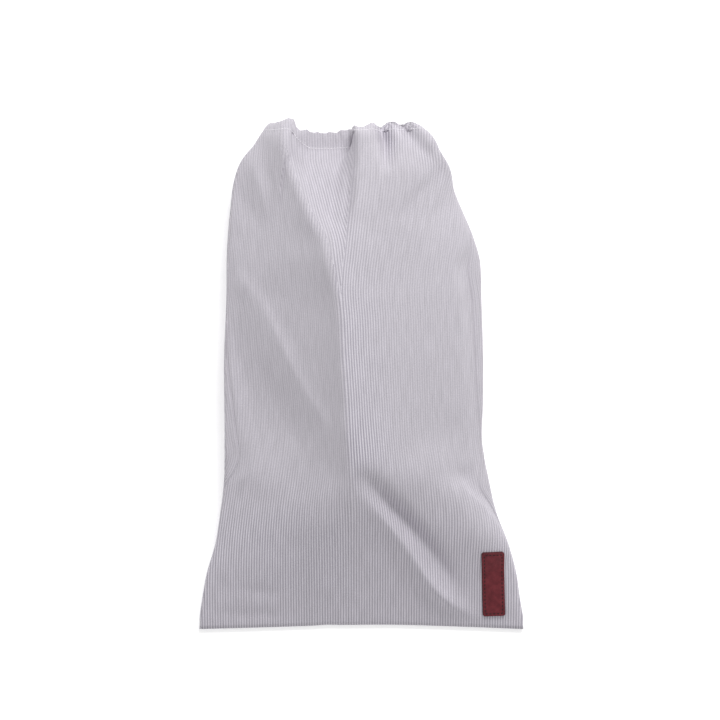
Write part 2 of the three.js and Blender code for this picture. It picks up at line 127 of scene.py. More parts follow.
# Name, widths to the left and right of the run, edge (1 sharp, 2 soft), run of x, y and height.
FRONT_FOLDS = [
    ("right of the hollow", 80, 12, 2, [
        (1, 467, 8), (1, 456, 10.5), (0.5, 440, 10.5), (-1, 406, 11.5), (-4, 386, 9.5), (-8, 366, 5.5),
        (-13, 344, 2.5), (-19, 310, 0),
    ]),
    ("lip of the right pleat", 14, 3, 2, [(-4, 470, 5), (-4, 456, 5), (-4.5, 444, 2), (-6, 430, 0)]),
    ("slit at the cuff", 1.8, 1.8, 2, [(-61, 470, -3), (-62, 458, -2), (-63, 445, 0)]),
    ("slit by the hollow", 2, 2, 2, [(-7.5, 470, -6), (-8, 452, -3), (-9.5, 442, 0)]),
    ("notch", 7, 4, 1.8, [
        (16, 470, -16), (18.5, 458, -18), (21, 446, -14), (22, 432, -7), (21, 414, 0),
    ]),
    ("valley by the hollow", 4, 4, 2, [
        (-9, 446, 0), (-10.5, 420, -2.5), (-12.5, 395, -3), (-16, 366, -2), (-19, 345, 0),
    ]),
    ("pleat past the notch", 4, 7, 1.7, [
        (27, 470, 1), (31, 459, 2.5), (40, 447, 2.5), (52, 435, 2), (62, 426, 0),
    ]),
    ("second notch", 4, 4, 1.8, [(37, 470, -8), (39, 461, -7), (43, 453, -3), (48, 447, 0)]),
    ("right of the mouth", 34, 34, 2, [
        (46, 470, 3), (46, 456, 5), (47, 444, 10), (46, 430, 14), (45, 416, 13.5), (43, 395, 8.5),
        (42, 375, 3.5), (41, 350, 0),
    ]),
    ("slack under the pleats", 40, 7, 2, [
        (80, 434, 0), (66, 417, -3.5), (46, 393, -3.5), (26, 369, 0),
    ]),
    ("slack by the shoulder", 14, 7, 2, [(84, 410, 0), (72, 388, -1.5), (58, 362, 0)]),
    ("right shoulder", 30, 10, 2, [
        (46, 472, 16), (55, 461, 17), (63, 449, 14), (70, 436, 8), (76, 420, 3), (82, 400, 0),
    ]),
    ("right belly", 55, 100, 2, [
        (-14, 298, 0), (26, 298.5, 6), (66, 299, 9.5), (92, 299.3, 8), (118, 299.6, 0),
    ]),
    ("left shoulder hollow", 9, 9, 2, [
        (-118, 430, 0), (-113, 408, -1.2), (-103, 386, -1.6), (-87, 360, 0),
    ]),
    ("left shoulder ridge", 7, 7, 2, [(-99, 444, 0), (-96, 424, 2), (-89, 398, 2), (-79, 372, 0)]),
    ("cuff", 10, 45, 2, [(-94, 450, 0), (-80, 452, 4), (-66, 452, 4), (-58, 450, 0)]),
    ("left flank swell", 40, 22, 2, [(-124, 318, 0), (-108, 322, 3), (-90, 322, 2.5), (-72, 312, 0)]),
    ("left drag ridge", 6, 30, 1.4, [
        (-117, 338, 0), (-101, 316, 2.6), (-84, 288, 4), (-65, 249, 3.8), (-45, 213, 2.5),
        (-24, 181, 0),
    ]),
    ("left drag", 28, 42, 1.8, [
        (-122, 294, 0), (-111, 262, -3.5), (-89, 218, -6), (-64, 178, -6.5), (-46, 152, -4),
        (-30, 128, -1.5), (-20, 100, 0),
    ]),
    ("left patch of slack", 26, 20, 2, [
        (-126, 158, 0), (-108, 150, 4.5), (-84, 138, 4), (-58, 122, 0),
    ]),
    ("by the crease", 45, 14, 2, [(-11, 155, 0), (4, 152, 3), (20, 149, 2.5), (42, 146, 0)]),
    ("cross ridge", 22, 18, 2, [(24, 152, 0), (46, 147, 2), (68, 143, 2.5), (88, 140, 0)]),
    ("corner hollow", 7.2, 9.5, 1.6, [
        (-4, 153, 0), (10, 136, -5.2), (24, 121, -9), (44, 99.5, -10.5), (62, 78, -8), (78, 55, -4),
        (94, 33, 0),
    ]),
    ("corner ridge", 6.5, 8.5, 1.6, [
        (-4, 131, 0), (10.5, 114.7, 2.5), (24.2, 99.7, 5.3), (40.2, 78.2, 7.2), (58, 51.4, 8.8),
        (71.5, 34.5, 10), (88.5, 19.5, 12), (116, 5, 5),
    ]),
    ("right swell", 20, 24, 2, [
        (70, 146, 0), (84, 126, 5), (98, 108, 8.5), (112, 88, 9), (125, 72, 5), (134, 60, 0),
    ]),
    ("right tuck", 9, 9, 2, [(76, 148, 0), (101, 139, -5), (120, 132, 0)]),
    ("foot ridge", 26, 14, 2, [
        (-22, 150, 0), (-30, 120, 3.5), (-38, 85, 4.5), (-42, 45, 3), (-44, 10, 1),
    ]),
    ("foot wrinkle", 5, 5, 2, [(-143, 17, 0), (-114, 12, -6), (-86, 12, -6), (-50, 8, 0)]),
    ("second foot wrinkle", 5, 5, 2, [(-126, 40, 0), (-94, 35, -1.5), (-60, 33, 0)]),
]


def smooth_column(rows, column, level_ends=False):
    """A smooth curve through one column of a table, read at any value of the table's first column."""
    at = np.array([row[0] for row in rows], float)
    value = np.array([row[column] for row in rows], float)
    last = len(at) - 1
    before = np.maximum(np.arange(last + 1) - 1, 0)
    after = np.minimum(np.arange(last + 1) + 1, last)
    slope = (value[after] - value[before]) / (at[after] - at[before])
    if level_ends:
        slope[[0, last]] = 0

    def read(where):
        here = np.clip(where, at[0], at[last])
        i = np.clip(np.searchsorted(at, here, side="right") - 1, 0, last - 1)
        span = at[i + 1] - at[i]
        t = (here - at[i]) / span
        u = 1 - t
        return (
            value[i] * (1 + 2 * t) * u * u
            + slope[i] * span * t * u * u
            + value[i + 1] * (3 - 2 * t) * t * t
            - slope[i + 1] * span * t * t * u
        )

    return read


section_y, outline_left, crest_x, outline_right, crest_height, widest_height, left_full, right_full = (
    smooth_column(SECTIONS, column) for column in range(1, 9)
)
hollow_left, hollow_right, hollow_depth, hollow_back, hollow_edge = (
    smooth_column(HOLLOW, column) for column in range(1, 6)
)
rim_line = smooth_column(RIM, 1)
seam_left_deg, seam_right_deg = smooth_column(SEAMS, 1), smooth_column(SEAMS, 2)
foot_rise = smooth_column(FOOT, 1)


def seam_left(along):
    return math.pi - np.radians(seam_left_deg(along))


def seam_right(along):
    return np.radians(seam_right_deg(along))


def smooth_step(value, low, high):
    t = np.clip((value - low) / (high - low), 0, 1)
    return t * t * (3 - 2 * t)


def unit(vectors):
    return vectors / np.linalg.norm(vectors, axis=-1, keepdims=True)


CREST_BLUNT = 0.17  # keeps the crest from being knife sharp
BLUNT_BAND = 270, 400  # the lengths of cloth over which the crest grows twice as blunt
ROUND_TURN = math.pi / 5  # the share of the underside given to each rounded flank
FOOT_FADE = 70.0  # the length of cloth over which the foot's bow dies out


def plain_wall(turn, along):
    """The wall of the pouch's hollow before any fold. The turn is 0 at the right, a quarter turn at the
    crown and a half turn at the left; past that the wall rounds under and lies flat."""
    left, right, crest = outline_left(along), outline_right(along), crest_x(along)
    half = (right - left) / 2 - SKIN
    widest = widest_height(along)
    angle = np.mod(turn, 2 * math.pi)
    to_left = np.cos(angle) < 0
    power = 2 / np.where(to_left, left_full(along), right_full(along))
    reach = np.where(to_left, crest - left - SKIN, right - SKIN - crest)
    across = np.abs(np.cos(angle))
    blunt = CREST_BLUNT * (1 + smooth_step(along, *BLUNT_BAND)) * np.maximum(power - 1, 0)
    aside = across**power + blunt * across * (1 - across) ** 3
    over_x = crest + reach * np.sign(np.cos(angle)) * aside
    over_z = widest + np.abs(np.sin(angle)) ** power * np.maximum(crest_height(along) - SKIN - widest, 0)
    from_left = angle - math.pi
    from_side = np.minimum(from_left, math.pi - from_left)
    flank = np.clip(from_side / ROUND_TURN, 0, 1) * math.pi / 2
    flat = np.maximum((from_side - ROUND_TURN) / (math.pi / 2 - ROUND_TURN), 0)
    bend = np.clip(widest - SKIN, 0, half)
    side = np.where(from_left < math.pi / 2, -1, 1)
    under_x = side * (half - bend + bend * np.cos(flank)) * (1 - flat)
    under_z = widest - (widest - SKIN) * np.sin(flank)
    under = angle > math.pi
    x = np.where(under, (left + right) / 2 + under_x, over_x)
    bow = foot_rise(x) * np.maximum(1 - along / FOOT_FADE, 0) ** 2
    return np.stack([x, section_y(along) + bow, np.where(under, under_z, over_z)], -1)


def outward(turn, along):
    """The plain wall's outward direction, from its own slopes."""
    small_turn, small_step = 1e-4, 1e-2
    before = np.maximum(along - small_step, 0)
    after = np.minimum(along + small_step, PANEL_LENGTH)
    round_wall = plain_wall(turn - small_turn, along) - plain_wall(turn + small_turn, along)
    up_wall = plain_wall(turn, after) - plain_wall(turn, before)
    return unit(np.cross(round_wall, up_wall))


FOLD_PLACES = 30  # places along a fold's run between which it is taken as straight
FOLD_REACH = 3.2  # a fold isn't felt past this many of its widths


def fold_lift(folds, x, y):
    """How far all folds together raise or sink the cloth."""
    lift = np.zeros_like(x)
    for _, left, right, edge, run in folds:
        steps = np.cumsum([0] + [math.dist(a[:2], b[:2]) for a, b in zip(run, run[1:])])
        rows = [(step, *point) for step, point in zip(steps, run)]
        places = np.linspace(0, steps[-1], FOLD_PLACES)
        line = np.stack([smooth_column(rows, column, column == 3)(places) for column in (1, 2, 3)], -1)
        reach = FOLD_REACH * max(left, right)
        low, high = line.min(axis=0) - reach, line.max(axis=0) + reach
        near = (x > low[0]) & (x < high[0]) & (y > low[1]) & (y < high[1])
        px, py = x[near], y[near]
        nearest, height, side = np.full(px.shape, np.inf), np.zeros(px.shape), np.ones(px.shape)
        for a, b in zip(line, line[1:]):
            dx, dy = b[0] - a[0], b[1] - a[1]
            t = np.clip(((px - a[0]) * dx + (py - a[1]) * dy) / (dx * dx + dy * dy), 0, 1)
            distance = np.hypot(px - a[0] - t * dx, py - a[1] - t * dy)
            closer = distance < nearest
            nearest = np.where(closer, distance, nearest)
            height = np.where(closer, a[2] + t * (b[2] - a[2]), height)
            side = np.where(closer, dx * (py - a[1]) - dy * (px - a[0]), side)
        lift[near] += height * np.exp(-((nearest / np.where(side > 0, left, right)) ** edge))
    return lift


SIDE_BEFORE, SIDE_PAST = 5, 20  # where the hollow's left side starts and ends, from its edge
LIP_BEFORE, LIP_PAST = 0.7, 0.3  # the same for its right side, as shares of that edge's width
RIM_BAND = 478, PANEL_LENGTH  # the lengths of cloth over which the rim takes its own line
SCALLOP_DEPTH, SCALLOP_PITCH = 0.7, 10.6
SCALLOP_BAND = 486, PANEL_LENGTH


def front_mouth(x, along):
    """How far the cloth of the mouth is moved back and down by the hollow, and out by the rim's line."""
    left, right, edge = hollow_left(along), hollow_right(along), hollow_edge(along)
    past_left = smooth_step(x, left - SIDE_BEFORE, left + SIDE_PAST)
    past_right = smooth_step(x, right - LIP_BEFORE * edge, right + LIP_PAST * edge)
    inside = past_left * (1 - past_right)
    scallop = SCALLOP_DEPTH * np.sin(2 * math.pi * x / SCALLOP_PITCH) * smooth_step(along, *SCALLOP_BAND)
    back = (scallop - hollow_back(along)) * inside + rim_line(x) * smooth_step(along, *RIM_BAND)
    down = hollow_depth(along) * inside
    return np.stack([np.zeros_like(back), back, down], -1)


FOLD_LEAN = np.array([1, 0.3, 1])  # folds rise out of the wall more than they move along the pouch
PLUMB_BAND = 425, 465  # the lengths of cloth over which folds come to rise plumb near the rim
SEAM_FADE = 0.22  # the turn from a seam over which folds die out
FOLD_FADE = 45.0  # the length of cloth from the foot over which they die out


def folded_wall(panel, turn, along, from_seam, outside=0.0):
    """The wall with one panel's folds and mouth, moved out by the cloth's own offset."""
    wall = plain_wall(turn, along)
    normal = outward(turn, along)
    plumb = panel.plumb * smooth_step(along, *PLUMB_BAND)[..., None]
    upright = unit(normal * FOLD_LEAN * (1 - plumb) + np.array([0, 0, 1]) * plumb)
    at_seam = smooth_step(from_seam, 0, SEAM_FADE)
    lift = at_seam * smooth_step(along, 0, FOLD_FADE) * fold_lift(panel.folds, wall[..., 0], wall[..., 1])
    offset = np.broadcast_to(outside, lift.shape)
    formed = wall + upright * lift[..., None] + normal * offset[..., None]
    return formed + panel.mouth(wall[..., 0], along) * at_seam[..., None]


def lengths_along(points):
    """How far each point lies along its own row of points."""
    steps = np.linalg.norm(np.diff(points, axis=-2), axis=-1)
    start = np.zeros(steps.shape[:-1] + (1,))
    return np.concatenate([start, np.cumsum(steps, axis=-1)], axis=-1)


ARC_PLACES = 700  # places round a section by which its length is measured


def turns_across(panel, along):
    """The turns at even lengths of cloth round each section of one panel."""
    start, end = panel.start(along), panel.end(along)
    share = np.linspace(0, 1, ARC_PLACES)
    turns = start[:, None] + (end - start)[:, None] * share
    from_seam = np.abs(end - start)[:, None] * np.minimum(share, 1 - share)
    every_along = np.repeat(along[:, None], ARC_PLACES, axis=1)
    lengths = lengths_along(folded_wall(panel, turns, every_along, from_seam))
    even = np.linspace(0, 1, panel.columns + 1)
    return np.stack([np.interp(even * length[-1], length, turn) for length, turn in zip(lengths, turns)])


FOOT_CLOSER, RIM_CLOSER = 0.035, 0.03  # how much closer together rows lie by the foot and the rim
HEM_STEPS = [0.6, 1.6, 3.5, 8.0, 12.0, TURN_IN]  # rows past the rim, on the cloth turned in there


def cloth_rows():
    """Lengths of flat cloth from the foot to the rim, then over it and down inside as the hem."""
    share = np.linspace(0, 1, CLOTH_ROWS)
    at_foot = FOOT_CLOSER * np.sin(2 * math.pi * share) * (1 - share)
    at_rim = RIM_CLOSER * np.sin(math.pi * share) * share
    body = PANEL_LENGTH * (share + at_foot - at_rim)
    before_rim = [PANEL_LENGTH - step for step in (HEM_STEPS[1], HEM_STEPS[0])]
    hem = [PANEL_LENGTH + step for step in HEM_STEPS]
    return np.concatenate([body[:-2], before_rim, hem])


def along_wall(flat_along):
    """How far up the wall a row of the flat cloth comes to lie, with its hem turned back down."""
    return np.where(flat_along > PANEL_LENGTH, 2 * PANEL_LENGTH - flat_along, flat_along)


def swell(away, height, width):
    """A soft ridge, or a groove where its height is below zero, by the distance from its middle."""
    return height * np.exp(-((away / width) ** 2))


SEAM_GROOVE = -0.3, 1.2  # height and width
SEAM_ROLL, ROLL_PLACE = (0.2, 2.2), 4.0  # the roll of cloth beside the groove, and how far from it
STITCH_GROOVE = -0.45, 1.7
HEM_DEPTH, HEM_TURN = 2.7, 1.4  # how far inside the hem lies, and half the length of its turn
PUCKERS = [(0.2, 1.13, 0.0), (0.22, 1.87, 1.3)]  # height, length to a radian and start of each ripple
PUCKER_BAND = -9, 5  # from the casing's stitches, where the puckers come in


def panel_points(panel):
    """The formed outside of one panel as a grid of points in millimetres, the flat cloth's length at each
    row, and the same grid on the plain wall."""
    flat_along = cloth_rows()
    along = along_wall(flat_along)
    turns = turns_across(panel, along)
    whole = np.abs(panel.end(along) - panel.start(along))[:, None]
    share = np.abs(turns - panel.start(along)[:, None]) / whole
    from_seam = whole * np.minimum(share, 1 - share)
    every_along = np.repeat(along[:, None], panel.columns + 1, axis=1)
    across = np.linspace(0, PANEL_WIDTH, panel.columns + 1)
    edge = np.minimum(across, PANEL_WIDTH - across)
    by_seam = swell(edge, *SEAM_GROOVE) + swell(edge - ROLL_PLACE, *SEAM_ROLL)
    from_stitches = flat_along - PANEL_LENGTH + CASING
    turned_in = HEM_DEPTH * smooth_step(flat_along - PANEL_LENGTH, -HEM_TURN, HEM_TURN)
    by_rim = swell(from_stitches, *STITCH_GROOVE) - turned_in
    puckers = sum(height * np.sin(across / length + start) for height, length, start in PUCKERS)
    in_casing = smooth_step(from_stitches, *PUCKER_BAND)
    outside = SKIN + by_seam + by_rim[:, None] + in_casing[:, None] * puckers
    points = folded_wall(panel, turns, every_along, from_seam, outside)
    points[..., 2] = np.maximum(points[..., 2], 0.0)
    return points, flat_along, plain_wall(turns, every_along)


FORK_ALONG = 325.0  # the length of cloth where the crest parts into the hollow's two edges
FORK_BAND = FORK_ALONG - 25, FORK_ALONG + 20  # where the hollow's right edge leaves the crest
CREST_CORD = 145.0  # the cloth's width from its left edge to the cord along the crest
SHOULDER_LEAN = 1.0  # how upright the left shoulder's cords stand beside the leaning crest
HOLLOW_LEAN = 0.5  # the same for the hollow's cords


def cord_lines(wall, flat_along):
    """Where the cords run: for each point of the plain wall its cloth's width from the left edge, three
    times over, for cords that follow the left shoulder, the hollow and the right side. Also which of the
    three each point belongs to."""
    along = along_wall(flat_along)
    lengths = lengths_along(wall)
    crest = crest_x(along)
    crest_shift = crest_x(np.minimum(along, FORK_ALONG)) - crest
    step = crest + (hollow_right(along) - crest) * smooth_step(along, *FORK_BAND)

    def length_at(places):
        found = []
        for length, row, x in zip(lengths, wall[..., 0], places):
            i = np.argmax(row > x)
            found.append(np.interp(x, row[i - 1:i + 1], length[i - 1:i + 1]))
        return np.array(found)

    at_crest, at_step = length_at(crest), length_at(step)
    shoulder = CREST_CORD + lengths - (at_crest + SHOULDER_LEAN * crest_shift)[:, None]
    hollow = CREST_CORD + lengths - (at_crest + HOLLOW_LEAN * crest_shift)[:, None]
    right = CREST_CORD + lengths - at_step[:, None]
    place = (lengths > at_crest[:, None]).astype(int) + (lengths > at_step[:, None]).astype(int)
    return np.stack([shoulder, hollow, right]), place


# Where the cords, with the painted shade in their grooves, show more plainly than on the cloth around, or
# less where the amount is below zero.
# Like the folds: name, widths, edge, run of x, y and amount.
CLEAR_CORDS = [
    ("right of the crease", 34, 4, 2, [
        (-24, 345, 0.3), (-15, 270, 0.5), (-11, 210, 0.5), (-8, 165, 0.78), (-4, 130, 0.2),
    ]),
    ("hollow", 22, 22, 2, [
        (-44, 460, 0), (-40, 430, 0.15), (-32, 395, 0.28), (-24, 365, 0.15), (-20, 345, 0),
    ]),
    ("wall of the notch", 8, 4, 2, [(20, 466, 0.88), (26, 450, 0.88), (25, 425, 0)]),
    ("right shoulder", 12, 12, 2, [(46, 458, 0.28), (66, 430, 0.22), (78, 395, 0)]),
    ("above the patch", 22, 22, 2, [(92, 128, -0.15), (118, 92, -0.25)]),
]
SLACK_CLEAR, TIGHT_CLEARER = 0.28, 0.54  # how plainly they show on slack cloth, and how much more on tight
TIGHT_BAND = 80, 175  # the distances from the foot over which the cloth slackens


def cord_clearness(x, y):
    """How plainly the cords and the painted shade in their grooves show: well where the cloth is drawn
    tight by the foot, faintly above.
    """
    tight = 1 - smooth_step(y, *TIGHT_BAND)
    return SLACK_CLEAR + TIGHT_CLEARER * tight + fold_lift(CLEAR_CORDS, x, y)


def flat_grid(bm, rows, columns):
    """A flat grid of faces, made in the mesh, and the row and column of each of its vertices."""
    half = 0.5
    bmesh.ops.create_grid(bm, x_segments=columns, y_segments=rows, size=half)
    return {v: (round((v.co.y + half) * rows), round((v.co.x + half) * columns)) for v in bm.verts}


def finished(name, bm):
    """The mesh as a smooth piece in the scene."""
    for face in bm.faces:
        face.smooth = True
    mesh = bpy.data.meshes.new(name)
    bm.to_mesh(mesh)
    bm.free()
    piece = bpy.data.objects.new(name, mesh)
    bpy.context.scene.collection.objects.link(piece)
    return piece


def thicken(piece, thickness):
    """Gives a piece its thickness, inwards from its face."""
    wall = piece.modifiers.new("thickness", "SOLIDIFY")
    wall.thickness = thickness * MM
    wall.offset = -1


# The tables' x is 0 near the pouch's middle and their y at its foot. PLACE moves their points to where
# the CAD model's back panel lies.
MIDDLE_X = 0.25
back_low, back_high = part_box("back_panel")
PLACE = np.array([(back_low.x + back_high.x) / 2 / MM - MIDDLE_X, back_low.y / MM, 0.0])


def cloth_sheet(name, points, flat_along, lines, place):
    """A flat grid with its cords' lines as UVs, each vertex moved to where the formed cloth has it."""
    bm = bmesh.new()
    flat = bm.loops.layers.uv.new("flat")
    clear = bm.verts.layers.float.new("clear")
    clearness = cord_clearness(points[..., 0], points[..., 1])
    spot = flat_grid(bm, points.shape[0] - 1, points.shape[1] - 1)
    for face in bm.faces:
        corners = [spot[vert] for vert in face.verts]
        kind = place[min(corner[0] for corner in corners), min(corner[1] for corner in corners)]
        for loop in face.loops:
            row, column = spot[loop.vert]
            loop[flat].uv = (lines[kind, row, column] * MM, flat_along[row] * MM)
    for vert, (row, column) in spot.items():
        vert.co = Vector((points[row, column] + PLACE) * MM)
        vert[clear] = clearness[row, column]
    sheet = finished(name, bm)
    thicken(sheet, CLOTH)
    return sheet


def new_material(name):
    material = bpy.data.materials.new(name)
    material.use_nodes = True
    return material, material.node_tree, material.node_tree.nodes["Principled BSDF"]


def add_node(tree, kind, inputs=None, **settings):
    """A shader node with its settings made and its sockets set or linked."""
    node = tree.nodes.new(kind)
    for key, value in settings.items():
        setattr(node, key, value)
    for key, value in (inputs or {}).items():
        if isinstance(value, bpy.types.NodeSocket):
            tree.links.new(value, node.inputs[key])
        else:
            node.inputs[key].default_value = value
    return node


def noise(tree, place, scale, detail):
    node = add_node(tree, "ShaderNodeTexNoise", {"Vector": place, "Scale": scale, "Detail": detail})
    return node.outputs["Fac"]


def work_out(tree, operation, *values):
    return add_node(tree, "ShaderNodeMath", dict(enumerate(values)), operation=operation).outputs[0]


def spread(tree, value, before, after):
    """A value moved from one range to another."""
    ends = {"From Min": before[0], "From Max": before[1], "To Min": after[0], "To Max": after[1]}
    return add_node(tree, "ShaderNodeMapRange", {"Value": value, **ends}).outputs[0]


def linear(red, green, blue):
    """A colour given in 0 to 255 as the eye sees it, as light."""
    parts = [c / 255 for c in (red, green, blue)]
    return tuple(c / 12.92 if c <= 0.04045 else ((c + 0.055) / 1.055) ** 2.4 for c in parts) + (1.0,)


def two_tones(tree, value, dark, light, interpolation="LINEAR"):
    """A colour between two, each given with the value at which it is reached."""
    node = add_node(tree, "ShaderNodeValToRGB", {"Fac": value})
    node.color_ramp.interpolation = interpolation
    for stop, (position, colour) in zip(node.color_ramp.elements, (dark, light)):
        stop.position = position
        stop.color = linear(*colour)
    return node.outputs["Color"]


def shaded(tree, colour, shade):
    return add_node(tree, "ShaderNodeVectorMath", {0: colour, "Scale": shade}, operation="SCALE").outputs[0]


def raise_surface(tree, shader, height, strength, distance):
    """A fine relief on the shader's surface."""
    bump = add_node(tree, "ShaderNodeBump", {"Height": height, "Strength": strength, "Distance": distance})
    tree.links.new(bump.outputs[0], shader.inputs["Normal"])


CORDS = 124  # across the panel
CORD_PITCH = PANEL_WIDTH / CORDS * MM
SLUB_SCALE, SLUB_SHADE = (1 / CORD_PITCH, 45.0, 1.0), (0.93, 1.06)  # slubs to a metre across and along
WEFT_SCALE, WEFT_SHADE = (950.0, 850.0, 1.0), (0.9, 1.09)
WEFT_RELIEF = 0.25  # how high the weft stands beside the cords
# the grooves' tone is the cloth's lilac stripe with painted shade in the grooves added to it
GROOVE_LILAC_AND_SHADE, RIDGE_PALE, SLACK_GREY = (168, 163, 175), (217, 213, 221), (191, 187, 194)
MIX_FIRST, MIX_SECOND, MIX_RESULT = 6, 7, 2  # a Mix node's sockets for colours


def cord_cotton(name):
    """Fine cords from foot to rim: pale ridges, lilac-grey grooves darkened further by painted shade,
    thread slubs and a soft bump.
    """
    material, tree, shader = new_material(name)
    uv = add_node(tree, "ShaderNodeUVMap", uv_map="flat").outputs["UV"]
    across = add_node(tree, "ShaderNodeSeparateXYZ", {"Vector": uv}).outputs["X"]
    wave = work_out(tree, "COSINE", work_out(tree, "MULTIPLY", across, 2 * math.pi / CORD_PITCH))
    ridge = spread(tree, wave, (-1.0, 1.0), (0.0, 1.0))
    stripe = two_tones(tree, ridge, (0.12, GROOVE_LILAC_AND_SHADE), (0.85, RIDGE_PALE), "EASE")
    clear = add_node(tree, "ShaderNodeAttribute", attribute_name="clear").outputs["Fac"]
    tones = {"Factor": clear, MIX_FIRST: linear(*SLACK_GREY), MIX_SECOND: stripe}
    cords = add_node(tree, "ShaderNodeMix", tones, data_type="RGBA", clamp_factor=False).outputs[MIX_RESULT]
    slub_place = add_node(tree, "ShaderNodeMapping", {"Vector": uv, "Scale": SLUB_SCALE}).outputs[0]
    slubs = noise(tree, slub_place, scale=1.0, detail=3.0)
    slub_shade = spread(tree, slubs, (0.3, 0.7), SLUB_SHADE)
    weft_place = add_node(tree, "ShaderNodeMapping", {"Vector": uv, "Scale": WEFT_SCALE}).outputs[0]
    weft = noise(tree, weft_place, scale=1.0, detail=1.0)
    weft_shade = spread(tree, weft, (0.25, 0.75), WEFT_SHADE)
    shade = work_out(tree, "MULTIPLY", slub_shade, weft_shade)
    tree.links.new(shaded(tree, cords, shade), shader.inputs["Base Color"])
    cord_height = work_out(tree, "MULTIPLY", ridge, clear)
    height = work_out(tree, "MULTIPLY_ADD", weft, WEFT_RELIEF, cord_height)
    raise_surface(tree, shader, height, strength=0.55, distance=0.6 * MM)
    shader.inputs["Roughness"].default_value = 0.92
    shader.inputs["Specular IOR Level"].default_value = 0.2
    shader.inputs["Sheen Weight"].default_value = 0.15
    shader.inputs["Sheen Roughness"].default_value = 0.6
    return material


front_panel = SimpleNamespace(
    start=seam_left,
    end=seam_right,
    columns=FRONT_COLUMNS,
    folds=FRONT_FOLDS,
    plumb=0.85,  # how nearly plumb its folds rise at the rim
    mouth=front_mouth,
)
front_points, front_flat, front_wall = panel_points(front_panel)
front = cloth_sheet("front_cloth", front_points, front_flat, *cord_lines(front_wall, front_flat))
front.data.materials.append(cord_cotton("striped cord cotton"))
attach(front, "root")
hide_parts("front_panel")


# Back panel
# The same cut of striped cord cotton. It lies flat under the pouch, comes up round both flanks to the
# side seams, and its rim is gathered along the floor at the mouth.
BACK_COLUMNS = 240
BACK_SHORT = 11.0  # its gathered rim lies this far short of the front's
SHORT_BAND = 420, PANEL_LENGTH  # the lengths of cloth over which it is drawn back
BACK_FOLDS = [
    ("left slack", 10, 12, 2, [(-42, 110, 0), (-36, 250, -6), (-52, 400, 0)]),
    ("right slack", 12, 10, 2, [(44, 90, 0), (54, 220, -5), (26, 390, 0)]),
    ("left corner", 12, 12, 2, [(-118, 26, 0), (-92, 80, -5), (-66, 140, 0)]),
    ("right corner", 12, 12, 2, [(120, 30, 0), (90, 84, -5), (62, 136, 0)]),
    ("first rim pleat", 6, 6, 2, [(-62, 467, -5), (-59, 440, -3.5), (-56, 405, 0)]),
    ("second rim pleat", 7, 6, 2, [(-36, 467, -5), (-33, 444, -3.5), (-33, 415, 0)]),
    ("third rim pleat", 6, 6, 2, [(-11, 467, -4), (-9, 440, -3), (-6, 400, 0)]),
    ("fourth rim pleat", 6, 7, 2, [(13, 467, -6), (16, 446, -4), (20, 412, 0)]),
    ("fifth rim pleat", 6, 6, 2, [(33, 467, -4.5), (37, 446, -3), (46, 415, 0)]),
]


def seam_left_under(along):
    return seam_left(along) - 2 * math.pi


def back_mouth(x, along):
    """How far the cloth of the back's mouth is drawn back."""
    back = -BACK_SHORT * smooth_step(along, *SHORT_BAND)
    return np.stack([np.zeros_like(x), back, np.zeros_like(x)], -1)


back_panel = SimpleNamespace(
    start=seam_right,
    end=seam_left_under,
    columns=BACK_COLUMNS,
    folds=BACK_FOLDS,
    plumb=0.0,
    mouth=back_mouth,
)
back_points, back_flat, _ = panel_points(back_panel)
back_widths = np.linspace(0, PANEL_WIDTH, BACK_COLUMNS + 1)
back_lines = np.broadcast_to(back_widths, (1, len(back_flat), BACK_COLUMNS + 1))
back = cloth_sheet("back_cloth", back_points, back_flat, back_lines, np.zeros(back_points.shape[:2], int))
back.data.materials.append(front.data.materials[0])
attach(back, "root")
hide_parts("back_panel")


# Leather patch
# A small rounded rectangle of burgundy leather, sewn flat on the front near the lower right corner. Its
# cut edge is a little rounded and its face is drawn down along the stitches.
PATCH_WIDTH, PATCH_LENGTH, PATCH_THICK, PATCH_CORNER = 21.0, 60.0, 1.8, 2.3
PATCH_X, PATCH_Y, PATCH_LEAN = 122.0, 42.0, math.radians(1.8)
PATCH_STITCH = 2.5  # from the patch's edge to its stitches
PATCH_UNDER = 1.1  # from the patch's face to its underside
EDGE_LINES = [0, 0.1, 0.25, 0.5, 0.8, 1.2, 1.6, 2.0, 2.5, 3.0, 3.6]  # rows of points by each edge
MIDDLE_COLUMNS, MIDDLE_ROWS = 13, 46  # and between them


def lines_across(size, count):
    """Places across a piece, close together near both its edges."""
    middle = np.linspace(EDGE_LINES[-1], size - EDGE_LINES[-1], count)[1:-1]
    return np.concatenate([EDGE_LINES, middle, size - np.array(EDGE_LINES[::-1])]) - size / 2


def grid_tree(points):
    """A grid of points as a surface that can be met from above."""
    rows, columns = points.shape[:2]
    first = (np.arange(rows - 1)[:, None] * columns + np.arange(columns - 1)).ravel()
    corners = np.stack([first, first + 1, first + columns + 1, first + columns], -1)
    return BVHTree.FromPolygons(points.reshape(-1, 3).tolist(), corners.tolist())


front_tree = grid_tree(front_points)
ABOVE, DOWN = 200, Vector((0, 0, -1))  # a height over the whole pouch, and the way down to the cloth
SLOPE_STEP = 1.5  # how far to each side the cloth's slope is felt


